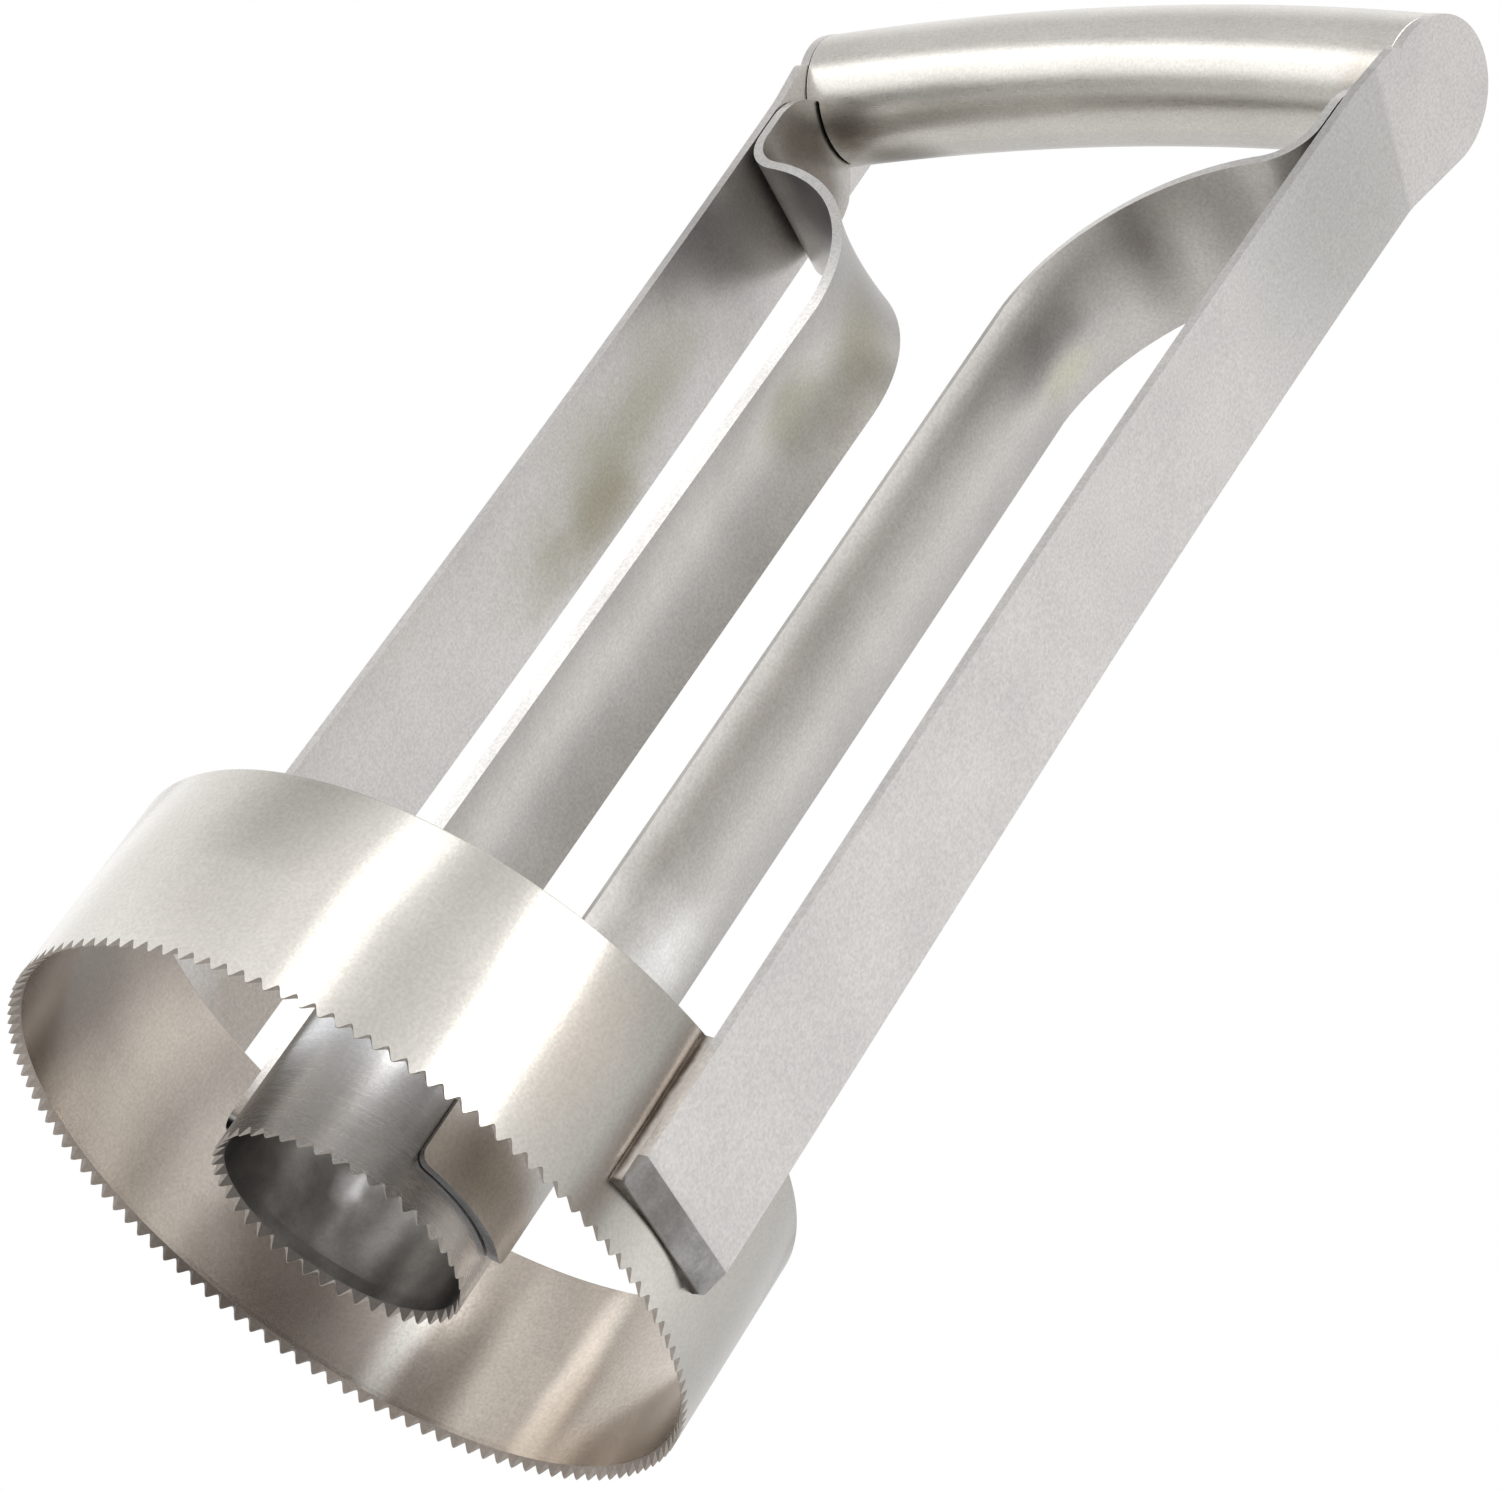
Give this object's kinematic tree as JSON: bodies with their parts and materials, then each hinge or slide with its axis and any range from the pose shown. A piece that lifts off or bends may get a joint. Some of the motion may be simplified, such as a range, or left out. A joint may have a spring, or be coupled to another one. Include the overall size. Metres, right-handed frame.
{
  "type": "pineapple slicer",
  "caption": "Pineapple slicer: a large and a small toothed steel ring on flat straps that rise to one arched tube handle.",
  "frame": {"origin": "centre of the object's box at its lowest tooth tips, on the axis that both rings share", "axes": "+Z along the rings' axis from the teeth up to the handle, X along the handle, +Y towards the back"},
  "size_m": [0.102, 0.093, 0.2121],
  "materials": {
    "ring_steel": "satin brushed stainless steel",
    "core_steel": "satin brushed stainless steel",
    "outer_strap_steel": "satin brushed stainless steel",
    "inner_strap_steel": "satin brushed stainless steel",
    "handle_steel": "satin brushed stainless steel"
  },
  "bodies": {
    "root": {"outer_ring": "ring_steel", "core_ring": "core_steel", "outer_strap_left": "outer_strap_steel", "outer_strap_right": "outer_strap_steel", "inner_strap_left": "inner_strap_steel", "inner_strap_right": "inner_strap_steel", "handle_tube": "handle_steel"}
  },
  "joints": []
}
